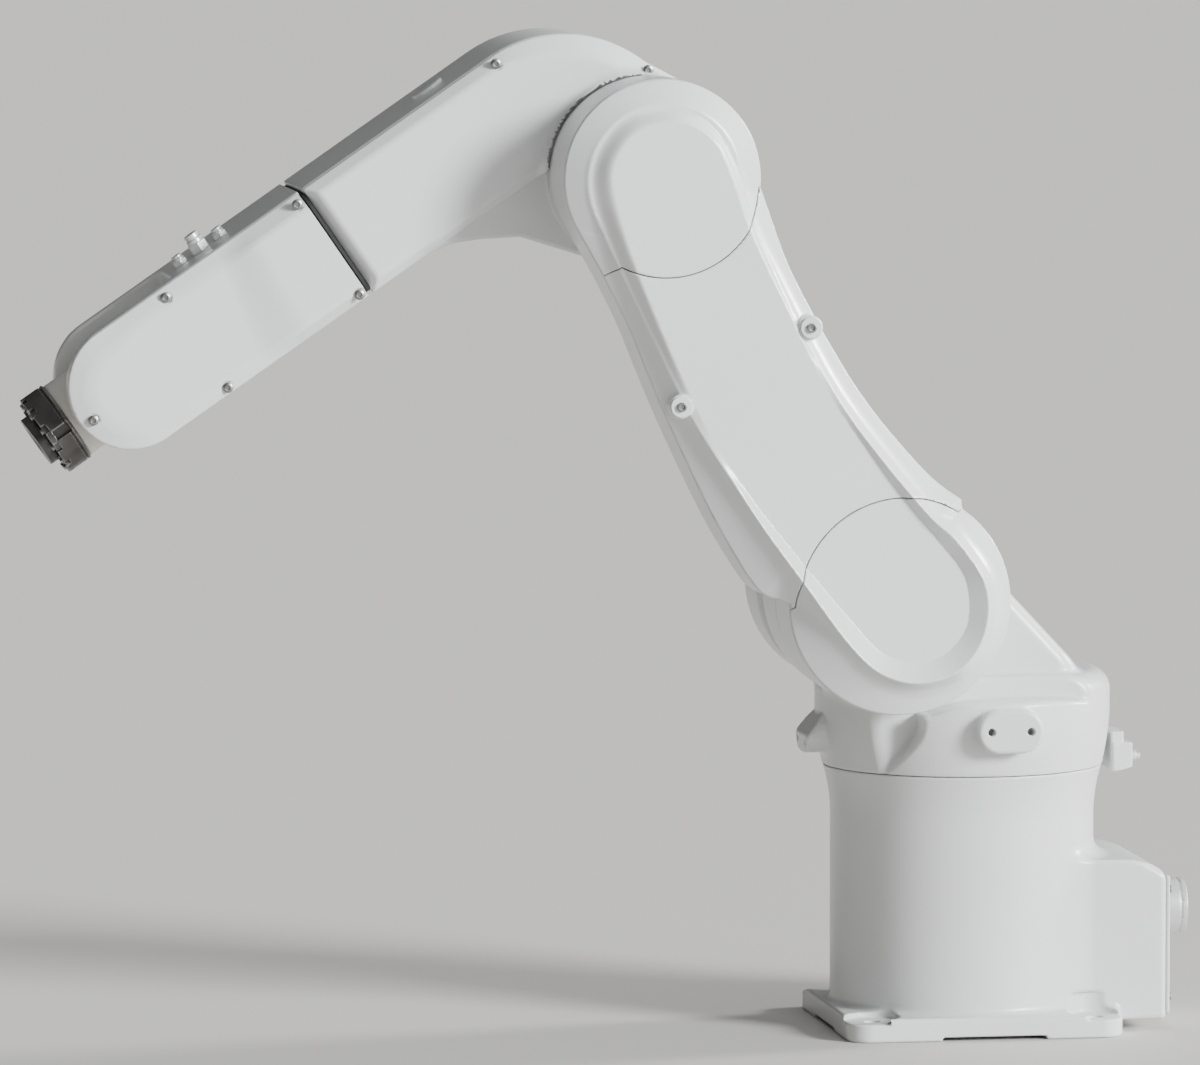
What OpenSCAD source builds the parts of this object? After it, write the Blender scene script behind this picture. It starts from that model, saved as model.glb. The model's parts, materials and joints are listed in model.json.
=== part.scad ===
// Six-axis articulated robot arm, single-sided upper arm, hollow castings with bolted covers.
// Frame: origin on the first axis at the foot's underside, +X the way the arm reaches, +Z up.
// Every length is in millimetres and every angle in degrees.

/* [Reach] */
// Height of the shoulder axis above the floor
shoulder_z = 335; // [325:1:345]
// Forward offset of the shoulder axis from the first axis
shoulder_x = 75; // [70:1:80]
// Upper arm length, shoulder axis to elbow axis
upper_len = 365; // [340:1:400]
// Forearm axis above the elbow axis
elbow_lift = 90; // [88:1:92]
// Forearm length, elbow axis to wrist axis
fore_len = 405; // [385:1:425]
// Wrist axis to the tool flange face
flange_reach = 80; // [78:1:82]

/* [Stored pose] */
// Forward lean of the upper arm from vertical
upper_lean = 29.5; // [20:0.5:40]
// Droop of the forearm below horizontal
fore_droop = 34.5; // [20:0.5:45]

/* [Foot and column] */
// Side of the square foot
foot_w = 200; // [196:1:210]
// Bolt hole spacing of the foot
foot_pitch = 160; // [156:1:166]
// Foot bolt hole diameter
foot_hole_d = 12; // [11:0.5:13]
// Column radius
column_r = 100; // [98:1:102]
// Height of the swivel seam
seam_z = 200; // [196:1:204]
// Height of the shoulder deck
deck_z = 272; // [268:1:276]

/* [Arm section] */
// Half width of the forearm over its covers
fore_half = 62; // [60:1:64]
// Half height of the forearm
fore_rise = 47.5; // [45:0.5:48]
// Inner face of the upper arm, from the centre plane
link_y0 = 78; // [77:1:80]
// Seam between the upper arm casting and its covers
link_y1 = 138; // [130:1:142]
// Outer face of the upper arm covers
link_y2 = 163; // [158:1:168]

/* [Tool flange] */
// Tool flange diameter
flange_d = 40; // [38:1:42]
// Tool bolt circle diameter
flange_pcd = 31.5; // [31:0.5:32]
// Pilot bore diameter
pilot_d = 20; // [18:1:21]

/* [Hidden] */
$fn = 96;

white = [0.86, 0.88, 0.89];
dark_seal = [0.10, 0.10, 0.11];
dark_steel = [0.30, 0.30, 0.29];
bright_steel = [0.72, 0.73, 0.74];
motor_grey = [0.22, 0.22, 0.24];
black_plastic = [0.08, 0.08, 0.08];

over = 0.5;             // how far a cutter runs past the face it cuts
run_gap = 0.05;         // radial clearance of a running fit
wall = 6;               // casting wall
skin = 4;               // cover wall

foot_t = 18;            // foot thickness
foot_relief = 3;        // depth of the channels between the four feet
foot_r = 18;            // foot corner radius
seat_r = 21;            // round seat under each foot bolt's head
seat_depth = 4;
flare_z = 160;          // where the column starts to flare
flare_r = column_r + 6; // column radius at the seam
seam_gap = 2;
swivel_z = seam_z + seam_gap;
spigot_r = 45;
reducer_seat_z = 150;

box_x0 = -145;          // rear face of the connector box
box_half = 68;
box_z0 = 8;
box_z1 = 130;
panel_t = 3;
main_plug = [18, 88];   // y and z of the main connector
signal_plug = [-34, 96];
port_row = [-46, -28, -10];
port_z = 40;

deck_r = 112;
pocket_r = 93;          // clearance round the upper arm's lower end
swing_back = 100;       // upper arm limits from vertical
swing_front = 135;
swing_gap = 4;
tower_half = 66;
tower_r = 72;
joint_face_y = link_y0 - 2;
joint_r = 83;
motor_face_y = -72;
pad_w = 50;
pad_h = 33;
pad_face = 124;
pad_hole_pitch = 30;
pad_hole_r = 2.1;
pad_z = 235;
pad_x = -13;
front_pad_z = 226;

shoulder_r = 84;        // lower end of the upper arm
elbow_r = 74;           // upper end of the upper arm
hub2_r = 40;
hub3_r = 34;
hub_root_y = 36;

bar_top = elbow_lift + fore_rise;
bar_low = elbow_lift - fore_rise;
body_half = 50;         // half width of the forearm castings under the covers
roll_x = 218;           // front face of the elbow casting
roll_gap = 3;
fork_x0 = roll_x + roll_gap;
slot_x = 334;           // rear end of the wrist slot
slot_half = 36;
hub4_r = 26;
hub4_bore = 16;
motor5_x = 268;
drive_r = 10;
driven_r = 16;
belt_t = 2;
belt_y0 = 43.5;
belt_y1 = 48.5;
trunnion_r = 14;

wrist_half = 34.5;
wrist_r = 31;
wrist_ball_r = 36;
ring_r = 32.5;
ring_x0 = 52;           // from the wrist axis
ring_x1 = 72;

elbow = [shoulder_x + upper_len * sin(upper_lean), 0, shoulder_z + upper_len * cos(upper_lean)];

// ---- placing ----
module at_shoulder() translate([shoulder_x, 0, shoulder_z]) children();
// Link frame: origin on the shoulder axis, +Z towards the elbow axis
module at_link() at_shoulder() rotate([0, upper_lean, 0]) children();
// Forearm frame: origin on the elbow axis, +X along the forearm
module at_forearm() translate(elbow) rotate([0, fore_droop, 0]) children();
// Wrist frame: origin on the wrist axis, +X towards the tool
module at_wrist() at_forearm() translate([fore_len, 0, elbow_lift]) children();

// ---- shapes ----
module rod_x(x0, x1, r) translate([x0, 0, 0]) rotate([0, 90, 0]) cylinder(h = x1 - x0, r = r);
module rod_y(y0, y1, r) translate([0, y0, 0]) rotate([-90, 0, 0]) cylinder(h = y1 - y0, r = r);
module rod_z(z0, z1, r) translate([0, 0, z0]) cylinder(h = z1 - z0, r = r);
module tube_x(x0, x1, r, bore) difference() {
    rod_x(x0, x1, r);
    rod_x(x0 - over, x1 + over, bore);
}
module tube_y(y0, y1, r, bore) difference() {
    rod_y(y0, y1, r);
    rod_y(y0 - over, y1 + over, bore);
}
module tube_z(z0, z1, r, bore) difference() {
    rod_z(z0, z1, r);
    rod_z(z0 - over, z1 + over, bore);
}
// A flat outline drawn in X and Z, made solid from y0 to y1
module slab_y(y0, y1) translate([0, y1, 0]) rotate([90, 0, 0]) linear_extrude(y1 - y0) children();
// A box from one corner to the other
module block(a, b) translate(a) cube(b - a);
module round_rect(w, h, r) union() {
    square([w - 2 * r, h], center = true);
    square([w, h - 2 * r], center = true);
    for (x = [-1, 1], z = [-1, 1]) translate([x * (w / 2 - r), z * (h / 2 - r)]) circle(r);
}
module obround(w, h) {
    square([w - h, h], center = true);
    for (x = [-1, 1]) translate([x * (w - h) / 2, 0]) circle(h / 2);
}
function arc(c, r, a0, a1, n = 24) = [
    for (i = [0:n]) let (a = a0 + (a1 - a0) * i / n) c + r * [cos(a), sin(a)]];
// Socket-head screw along +Y, its head's face at y1
module screw_y(y1, head_r, head_h, shank_r, shank) difference() {
    union() {
        rod_y(y1 - head_h, y1, head_r);
        rod_y(y1 - head_h - shank, y1 - head_h + over, shank_r);
    }
    translate([0, y1 - head_h * 0.6, 0]) rotate([-90, 0, 0]) cylinder(h = head_h, r = head_r * 0.5, $fn = 6);
}

// ---- base ----
foot_spots = [for (x = [-1, 1], y = [-1, 1]) [x, y] * foot_pitch / 2];

module column_outline() polygon(concat(
    [[0, 0], [column_r, 0], [column_r, flare_z]],
    [for (i = [1:10])
        [column_r + (flare_r - column_r) * pow(i / 10, 2), flare_z + (seam_z - 1 - flare_z) * i / 10]],
    [[0, seam_z - 1]]));

// The housing's top slopes down towards its rear edge
module connector_housing() slab_y(-box_half, box_half) polygon(
    [[box_x0, box_z0], [-60, box_z0], [-60, box_z1], [box_x0 + 18, box_z1], [box_x0, box_z1 - 10.5]]);

module base_casting() color(white) difference() {
    union() {
        linear_extrude(foot_t) round_rect(foot_w, foot_w, foot_r);
        rotate_extrude() column_outline();
        connector_housing();
    }
    block([box_x0 - over, -box_half + 14, box_z0 + wall], [-70, box_half - 14, box_z1 - 18]);
    for (p = panel_screw_spots) on_panel(p) rod_x(-over, 9, 1.6);
    rod_z(foot_t - 2, 142, column_r - 10);
    rod_z(140, reducer_seat_z + over, 50);
    rod_z(reducer_seat_z, seam_z, 72);
    block([-45, -foot_w, -over], [35, foot_w, foot_relief]);
    block([-foot_w, -40, -over], [foot_w, 40, foot_relief]);
    for (p = foot_spots) translate(p) {
        rod_z(-over, foot_t + over, foot_hole_d / 2);
        rod_z(foot_t - seat_depth, foot_t + 12, seat_r);
    }
}

panel_screw_spots = [for (y = [-1, 1], z = [24, 106]) [y * (box_half - 9.5), z]];
module on_panel(p) translate([box_x0, p.x, p.y]) children();

module rear_panel() color(white) difference() {
    block([box_x0 - panel_t, -box_half + 3, box_z0 + 3], [box_x0, box_half - 3, box_z1 - 13]);
    on_panel(main_plug) rod_x(-10, 10, 18.5);
    on_panel(signal_plug) rod_x(-10, 10, 9);
    for (y = port_row) on_panel([y, port_z]) rod_x(-10, 10, 4.5);
    for (p = panel_screw_spots) on_panel(p) rod_x(-10, 10, 1.6);
}

module main_connector() color(bright_steel) on_panel(main_plug) difference() {
    union() {
        rod_x(-panel_t - 4, -panel_t, 24);
        rod_x(-panel_t - 20, -panel_t - 4 + over, 21.5);
        rod_x(-panel_t - over, 14, 18);
    }
    rod_x(-panel_t - 20 - over, -panel_t - 6, 18);
    rod_x(4, 15, 14);
}

module signal_connector() color(bright_steel) on_panel(signal_plug) difference() {
    union() {
        rod_x(-panel_t - 2, -panel_t, 12);
        rod_x(-panel_t - 11, -panel_t - 2 + over, 10);
        rod_x(-panel_t - over, 10, 8.5);
    }
    rod_x(-panel_t - 11 - over, -panel_t - 4, 8);
}

module base_air_ports() color(black_plastic) for (y = port_row) on_panel([y, port_z]) difference() {
    union() {
        rod_x(-panel_t - 13, -panel_t, 6.5);
        rod_x(-panel_t - over, 10, 4);
    }
    rod_x(-panel_t - 13 - over, -panel_t + 6, 3);
}

module rear_panel_screws() color(bright_steel) for (p = panel_screw_spots) on_panel(p) {
    rod_x(-panel_t - 2.5, -panel_t, 3);
    rod_x(-panel_t - over, 8, 1.5);
}

module j1_motor() color(motor_grey) {
    translate([0, 0, 40]) linear_extrude(92) round_rect(74, 74, 10);
    translate([0, 0, 132]) linear_extrude(8) round_rect(84, 84, 10);
    rod_z(139, 166, 8);
}

module j1_reducer() color(bright_steel) tube_z(reducer_seat_z, seam_z - 3, 72, spigot_r + run_gap);

module j1_seal() color(dark_seal) tube_z(seam_z - 1, swivel_z - 0.4, flare_r - 3, 90);

// ---- shoulder ----
module shoulder_outline() polygon(concat(
    [[0, swivel_z], [flare_r + 0.5, swivel_z]],
    [for (i = [1:8]) [flare_r + 0.5 + (deck_r - flare_r - 0.5) * sin(90 * i / 8), swivel_z + 45 * i / 8]],
    arc([deck_r - 16, deck_z - 16], 16, 0, 90, 10),
    [[0, deck_z]]));

module tower_outline(r, foot) {
    hull() {
        translate([shoulder_x, shoulder_z]) circle(r, $fn = 96);
        translate([-88 + foot, deck_z - 14]) square([180 - 2 * foot, 8]);
    }
}

module pad() difference() {
    rotate([90, 0, 0]) translate([0, 0, -pad_face]) linear_extrude(40) obround(pad_w, pad_h);
    for (x = [-1, 1]) translate([x * pad_hole_pitch / 2, 0, 0])
        rod_y(pad_face - 12, pad_face + over, pad_hole_r);
}
module front_pad() difference() {
    pad();
    translate([0, pad_face, 6]) rotate([45, 0, 0]) block([-40, -2, 0], [40, 40, 30]);
}
module on_pads() {
    translate([pad_x, 0, pad_z]) children();
    translate([pad_x, 0, pad_z]) mirror([0, 1, 0]) children();
}

// Everything the upper arm passes over between its two limits, with a working clearance
module swing_outline() {
    circle(pocket_r);
    for (lean = [-swing_back, swing_front]) rotate(-lean) link_outline(swing_gap);
    polygon([for (lean = [-swing_back, -45, 45, swing_front]) 700 * [sin(lean), cos(lean)], [0, 0]]);
}

module shoulder_casting() color(white) difference() {
    union() {
        rotate_extrude() shoulder_outline();
        rod_z(172, swivel_z + over, spigot_r);
        slab_y(-tower_half, tower_half) tower_outline(tower_r, 0);
        at_shoulder() rod_y(20, joint_face_y, joint_r);
        at_shoulder() rod_y(motor_face_y, -20, joint_r - 3);
        on_pads() pad();
        translate([0, 0, front_pad_z]) rotate([0, 0, -90]) front_pad();
    }
    rod_z(swivel_z + 8, deck_z - 8, 88);
    rod_z(170, swivel_z + 9, 36);
    slab_y(-tower_half + wall, tower_half - wall) tower_outline(tower_r - 8, 14);
    at_shoulder() rod_y(24, joint_face_y + over, 60);
    at_shoulder() rod_y(-80, 24 + over, 52);
    at_shoulder() slab_y(joint_face_y, 200) swing_outline();
    at_shoulder() rod_y(-130, motor_face_y, 79);
}

module shoulder_service_block() color(white) {
    block([-128, -22, 192], [-deck_r - 0.5, 22, 214]);
    block([-122, -18, 214], [-deck_r - 0.5, 18, 222]);
}

module shoulder_air_ports() color(black_plastic) for (y = [-13, 0, 13]) translate([-128, y, 203]) {
    rod_x(-7, 0, 4);
}

module j2_reducer() color(bright_steel) at_shoulder() tube_y(26, joint_face_y - 2, 60, hub2_r + run_gap);

module j2_motor() color(motor_grey) at_shoulder() {
    rod_y(-104, 12, 40);
    rod_y(12, 18, 51);
    rod_y(18 - over, 46, 9);
}

cover2_screw_spots = [for (i = [0:5]) 66 * [cos(60 * i + 30), sin(60 * i + 30)]];
module j2_motor_cover() color(white) at_shoulder() difference() {
    union() {
        rod_y(-80, motor_face_y, 76);
        translate([0, -116, 0]) rotate([-90, 0, 0]) cylinder(h = 44, r1 = 54, r2 = 60);
    }
    rod_y(-112, motor_face_y + over, 50);
    for (p = cover2_screw_spots) translate([p.x, 0, p.y]) rod_y(-90, -70, 2.6);
}

module j2_cover_screws() color(bright_steel) at_shoulder() for (p = cover2_screw_spots)
    translate([p.x, 0, p.y]) {
        rod_y(-84, -80, 4.5);
        rod_y(-80 - over, motor_face_y, 2.5);
    }

// ---- upper arm ----
// Side outline of the link in its own frame: x is forward, z runs to the elbow axis
front_bow = [[77, 48], [88, 62], [91, 100], [90.5, 137], [86, 200], [81, 245], [76, 285]];
rear_bow = [[-61, 324], [-57, 301], [-51, 264], [-49, 222], [-50, 165], [-55, 122], [-66, 72], [-78, 44]];
front_panel = [[54, 30], [62, 60], [65.5, 105], [66, 165], [63, 225], [56, 290], [52, 330]];
rear_panel_line = [[-54, 345], [-44, 305], [-31, 215], [-28, 160], [-32, 106], [-43, 64], [-53, 24]];
cover_screw_spots = [[-40, 216], [73, 214]];
boss_r = 9;             // round boss under each cover screw
boss_y = link_y2 - 5;
washer_t = 2;
panel_r2 = 55;
panel_r3 = 53;
split_r2 = 83;
split_r3 = 70;

module link_outline(grow = 0) offset(delta = grow) {
    circle(shoulder_r);
    translate([0, upper_len]) circle(elbow_r);
    polygon(concat([[40, 0]], front_bow, [[74, 330], [74, upper_len], [-60, upper_len]], rear_bow, [[-60, 0]]));
}
module panel_outline(grow = 0) offset(delta = grow) {
    circle(panel_r2);
    translate([0, upper_len]) circle(panel_r3);
    polygon(concat([[40, 0]], front_panel, [[50, upper_len], [-50, upper_len]], rear_panel_line, [[-50, 0]]));
}

module upper_arm_casting() color(white) at_link() difference() {
    union() {
        difference() {
            slab_y(link_y0, link_y1) link_outline();
            slab_y(link_y0 + 10, link_y1 + over) link_outline(-9);
        }
        for (p = cover_screw_spots) translate([p.x, 0, p.y]) rod_y(link_y0 + 5, link_y1, 7);
    }
    for (p = cover_screw_spots) translate([p.x, 0, p.y]) rod_y(link_y1 - 16, link_y1 + over, 2.1);
    rod_y(link_y0 - over, link_y1, 20);
    translate([0, 0, upper_len]) rod_y(link_y0 - over, link_y1, 16);
}

module j2_hub() color(bright_steel) at_link() tube_y(hub_root_y, link_y0, hub2_r, 20);
module j3_hub() color(bright_steel) at_link() translate([0, 0, upper_len])
    tube_y(hub_root_y, link_y0, hub3_r, 16);

module link_cover() difference() {
    union() {
        slab_y(link_y1, link_y1 + 8) link_outline(-5);
        slab_y(link_y1 + 8 - over, link_y2) panel_outline();
        for (p = cover_screw_spots) translate([p.x, 0, p.y]) rod_y(link_y1 + 8 - over, boss_y, boss_r);
    }
    slab_y(link_y1 - over, link_y2 - skin) panel_outline(-9);
    for (p = cover_screw_spots) translate([p.x, 0, p.y]) rod_y(link_y1 - 1, boss_y + over, 2.1);
    for (p = cover_screw_spots) translate([p.x, 0, p.y]) rod_y(boss_y, link_y2 + over, boss_r);
}

module upper_arm_mid_cover() color(white) at_link() difference() {
    link_cover();
    rod_y(link_y0, link_y2 + 1, split_r2 + 0.4);
    translate([0, 0, upper_len]) rod_y(link_y0, link_y2 + 1, split_r3 + 0.4);
}
module shoulder_end_cover() color(white) at_link() intersection() {
    link_cover();
    rod_y(link_y0, link_y2 + 1, split_r2);
}
module elbow_end_cover() color(white) at_link() intersection() {
    link_cover();
    translate([0, 0, upper_len]) union() {
        rod_y(link_y0, link_y2 + 1, split_r3);
        block([-100, link_y0, 0.5], [100, link_y2 + 1, 100]);
    }
}
module upper_arm_washers() color(white) at_link() for (p = cover_screw_spots)
    translate([p.x, 0, p.y]) tube_y(boss_y, boss_y + washer_t, boss_r - 1, 2.1);
module upper_arm_screws() color(bright_steel) at_link() for (p = cover_screw_spots)
    translate([p.x, 0, p.y]) screw_y(boss_y + washer_t + 2.5, 3.5, 2.5, 2, 34);

// ---- forearm, elbow half ----
crown_c = [48, 36];     // centre of the elbow's long crown arc
crown_r = bar_top - crown_c.y;
module elbow_outline(grow = 0) offset(delta = grow) polygon(concat(
    [[roll_x, bar_low], [168, bar_low], [148, bar_low - 4], [129, 29], [103, 13]],
    arc([0, 0], elbow_r, 330, 155, 40),
    arc(crown_c, crown_r, 162, 90, 24),
    [[roll_x, bar_top]]));
plug_x = 93;
cover3_r = 80;          // the near cover stops this far from the elbow axis
elbow_screw_spots = [[46, 131.5], [-45.5, 61.8]];

module elbow_casting() color(white) at_forearm() difference() {
    union() {
        slab_y(-body_half, body_half) elbow_outline();
        rod_y(40, joint_face_y, elbow_r - 2);
    }
    difference() {
        slab_y(-body_half - over, 40) elbow_outline(-wall);
        block([150, -100, 0], [roll_x, 100, 200]);
    }
    slab_y(38, body_half + over) difference() {
        elbow_outline(-wall);
        circle(elbow_r - 2);
        translate([150, 0]) square([100, 200]);
    }
    rod_y(30, joint_face_y + over, 52);
    translate([0, 0, elbow_lift]) rod_x(148, roll_x + over, 40);
    translate([plug_x, 0, bar_top - 10]) rod_z(0, 20, 9);
    for (p = elbow_screw_spots, s = [-1, 1]) translate([p.x, 0, p.y])
        if (s > 0) rod_y(body_half - 8, body_half + over, 2);
        else rod_y(-body_half - over, -body_half + 8, 2);
}

module elbow_cover_plate() difference() {
    slab_y(body_half, fore_half) elbow_outline(-1);
    block([0, body_half - over, -100], [roll_x, fore_half + over, bar_low + 1]);
    rod_y(body_half - over, fore_half + over, cover3_r);
    slab_y(body_half - over, fore_half - skin) difference() {
        elbow_outline(-12);
        circle(cover3_r + 6);
        translate([0, bar_low - 100]) square([roll_x, 112]);
    }
    for (p = elbow_screw_spots) translate([p.x, 0, p.y]) rod_y(body_half - over, fore_half + over, 2.1);
}
module elbow_near_cover() color(white) at_forearm() elbow_cover_plate();
module elbow_far_cover() color(white) at_forearm() difference() {
    slab_y(-fore_half, -body_half) elbow_outline(-1);
    slab_y(-fore_half + skin, -body_half + over) elbow_outline(-12);
    for (p = elbow_screw_spots) translate([p.x, 0, p.y]) rod_y(-fore_half - over, -body_half + over, 2.1);
}
module elbow_cover_screws() color(bright_steel) at_forearm() for (p = elbow_screw_spots, s = [0, 1])
    mirror([0, s, 0]) translate([p.x, 0, p.y]) {
        rod_y(fore_half, fore_half + 2, 4);
        rod_y(body_half - 6, fore_half + over, 1.9);
    }
module elbow_plug() color(white) at_forearm() translate([plug_x, 0, 0]) {
    rod_z(bar_top, bar_top + 3, 13);
    rod_z(bar_top - 5, bar_top + over, 9);
}

module j3_reducer() color(bright_steel) at_forearm() tube_y(32, joint_face_y - 2, 52, hub3_r + run_gap);
module j3_motor() color(motor_grey) at_forearm() {
    rod_y(-46, 22, 33);
    rod_y(22, 30, 42);
    rod_y(30 - over, 44, 8);
}
module j4_reducer() color(bright_steel) at_forearm() translate([0, 0, elbow_lift])
    tube_x(160, roll_x - 2, 40, hub4_r + run_gap);
module j4_motor() color(motor_grey) at_forearm() translate([0, 0, elbow_lift]) {
    rod_x(62, 140, 24);
    rod_x(140, 147, 32);
    rod_x(147 - over, 176, 6);
}
module j4_seal() color(dark_seal) at_forearm() translate([roll_x, 0, elbow_lift]) rotate([90, 0, 90])
    linear_extrude(roll_gap - 0.4) difference() {
        round_rect(2 * fore_half - 6, 2 * fore_rise - 6, 14);
        circle(38);
    }

// ---- forearm, wrist half ----
module fork_outline(grow = 0) offset(delta = grow) {
    translate([fork_x0, bar_low]) square([fore_len - fork_x0, 2 * fore_rise]);
    translate([fore_len, elbow_lift]) circle(fore_rise);
}
fork_face = fore_half - 6;  // the covers step in towards the wrist
step_x0 = 266;          // the step's upper and lower ends
step_x1 = 305;
rear_screw_spots = [[fork_x0 + 6.5, 131], [fork_x0 + 6.5, 49]];
front_screw_spots = [[347, 130], [347, 48], [443, 86]];
fork_screw_spots = concat(rear_screw_spots, front_screw_spots);

module fork_casting() color(white) at_forearm() difference() {
    slab_y(-body_half, body_half) fork_outline();
    block([slot_x, -slot_half, 0], [600, slot_half, 200]);
    block([fork_x0 + 10, -body_half - over, bar_low + 8], [slot_x - 10, body_half + over, bar_top - 8]);
    for (s = [0, 1]) mirror([0, s, 0]) translate([fork_x0 + 10, 42, elbow_lift - 20])
        cube([fore_len - fork_x0 - 10, 20, 40]);
    translate([fore_len, 0, elbow_lift]) {
        rod_y(-60, 60, 19);
        rod_y(42, 60, 20);
        rod_y(-60, -42, 20);
    }
    translate([0, 0, elbow_lift]) rod_x(fork_x0 - over, fork_x0 + 11, hub4_bore);
    for (x = port_spots) translate([x, 8, bar_top - 12]) rod_z(0, 20, 4.2);
    for (p = fork_screw_spots) translate([p.x, 0, p.y]) rod_y(-body_half - over, body_half + over, 1.6);
}
port_spots = [284, 302, 320];

module fork_cover_plate() difference() {
    union() {
        slab_y(body_half, fork_face) fork_outline(-1);
        slab_y(body_half, fore_half) intersection() {
            fork_outline(-1);
            polygon([[fork_x0, 0], [step_x1, 0], [step_x0, 200], [fork_x0, 200]]);
        }
    }
    slab_y(body_half - over, fork_face - skin) fork_outline(-12);
    for (p = fork_screw_spots) translate([p.x, 0, p.y]) rod_y(body_half - over, fore_half + over, 2.1);
}
module fork_near_cover() color(white) at_forearm() fork_cover_plate();
module fork_far_cover() color(white) at_forearm() mirror([0, 1, 0]) fork_cover_plate();
module fork_cover_screw(face) {
    rod_y(face, face + 2, 4);
    rod_y(body_half - 6, face + over, 1.5);
}
module fork_cover_screws() color(bright_steel) at_forearm() for (s = [0, 1]) mirror([0, s, 0]) {
    for (p = rear_screw_spots) translate([p.x, 0, p.y]) fork_cover_screw(fore_half);
    for (p = front_screw_spots) translate([p.x, 0, p.y]) fork_cover_screw(fork_face);
}
module fork_air_ports() color(bright_steel) at_forearm()
    for (x = port_spots) translate([x, 8, 0]) difference() {
    union() {
        rod_z(bar_top - 8, bar_top + over, 4.1);
        rod_z(bar_top, bar_top + (x == port_spots[1] ? 15 : 8), x == port_spots[1] ? 8 : 6);
    }
    rod_z(bar_top + 3, bar_top + 20, x == port_spots[1] ? 4 : 3);
}
module j4_hub() color(bright_steel) at_forearm() translate([0, 0, elbow_lift])
    tube_x(162, fork_x0, hub4_r, hub4_bore);

module j5_motor() color(motor_grey) at_forearm() translate([motor5_x, 0, elbow_lift]) {
    rod_y(-38, 38, 20);
    rod_y(38 - over, 42, 3);
}
module j5_drive_pulley() color(bright_steel) at_forearm() translate([motor5_x, 0, elbow_lift])
    rod_y(43, 49, drive_r);
module stadium(r) hull() {
    circle(r, $fn = 64);
    translate([motor5_x - fore_len, 0]) circle(r - driven_r + drive_r, $fn = 64);
}
module j5_belt() color(black_plastic) at_wrist() slab_y(belt_y0, belt_y1) difference() {
    stadium(driven_r + 0.15 + belt_t);
    stadium(driven_r + 0.15);
}
module j5_near_bearing() color(bright_steel) at_wrist() tube_y(slot_half, 42, 19, trunnion_r + run_gap);
module j5_far_bearing() color(bright_steel) at_wrist() tube_y(-42, -slot_half, 19, trunnion_r + run_gap);

// ---- wrist ----
module wrist_housing() color(white) at_wrist() difference() {
    union() {
        rod_y(-wrist_half, wrist_half, wrist_ball_r);
        rod_x(0, ring_x0, wrist_r);
        rod_y(-42, 43, trunnion_r);
    }
    rod_x(-16, ring_x0 + over, 25);
}
module j5_driven_pulley() color(bright_steel) at_wrist() rod_y(43, 49, driven_r);
module j6_motor() color(motor_grey) at_wrist() {
    rod_x(-14, 24, 24);
    rod_x(24 - over, 44, 4);
}
module j6_reducer() color(bright_steel) at_wrist() tube_x(30, ring_x0, 24.9, 12 + run_gap);
module wrist_end_ring() color(dark_steel) at_wrist() difference() {
    rod_x(ring_x0, ring_x1, ring_r);
    rod_x(ring_x0 - over, ring_x1 + over, 12 + run_gap);
    for (p = ring_screw_spots) translate([0, p.x, p.y]) rod_x(ring_x1 - 7, ring_x1 + over, 1.3);
    block([ring_x0 + 2, 20, -4], [ring_x0 + 14, 40, 4]);
}
ring_screw_spots = [for (i = [0:11]) 27.5 * [cos(30 * i + 15), sin(30 * i + 15)]];
module wrist_ring_screws() color(bright_steel) at_wrist() for (p = ring_screw_spots) translate([0, p.x, p.y]) {
    rod_x(ring_x1, ring_x1 + 2, 2.2);
    rod_x(ring_x1 - 6, ring_x1 + over, 1.2);
}

tool_spots = [for (i = [0:3]) flange_pcd / 2 * [cos(90 * i + 45), sin(90 * i + 45)]];
module tool_flange() color(dark_steel) at_wrist() difference() {
    rod_x(ring_x1 + 0.5, flange_reach, flange_d / 2);
    rod_x(flange_reach - 6, flange_reach + over, pilot_d / 2);
    for (p = tool_spots) translate([0, p.x, p.y]) rod_x(flange_reach - 7, flange_reach + over, 2.1);
    translate([0, flange_pcd / 2, 0]) rod_x(flange_reach - 6, flange_reach + over, 2.5);
}
// The output shaft that carries the flange through the ring
module flange_shaft() color(bright_steel) at_wrist() rod_x(46, ring_x1 + 0.5, 12);

base_casting();
rear_panel();
main_connector();
signal_connector();
base_air_ports();
rear_panel_screws();
j1_motor();
j1_reducer();
j1_seal();
shoulder_casting();
shoulder_service_block();
shoulder_air_ports();
j2_reducer();
j2_motor();
j2_motor_cover();
j2_cover_screws();
upper_arm_casting();
upper_arm_mid_cover();
shoulder_end_cover();
elbow_end_cover();
upper_arm_washers();
upper_arm_screws();
j2_hub();
j3_hub();
elbow_casting();
elbow_near_cover();
elbow_far_cover();
elbow_cover_screws();
elbow_plug();
j3_reducer();
j3_motor();
j4_reducer();
j4_motor();
j4_seal();
fork_casting();
fork_near_cover();
fork_far_cover();
fork_cover_screws();
fork_air_ports();
j4_hub();
j5_motor();
j5_drive_pulley();
j5_belt();
j5_far_bearing();
j5_near_bearing();
wrist_housing();
j5_driven_pulley();
j6_motor();
j6_reducer();
wrist_end_ring();
wrist_ring_screws();
tool_flange();
flange_shaft();
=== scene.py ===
import json
from math import cos, pi, radians, sin

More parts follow.
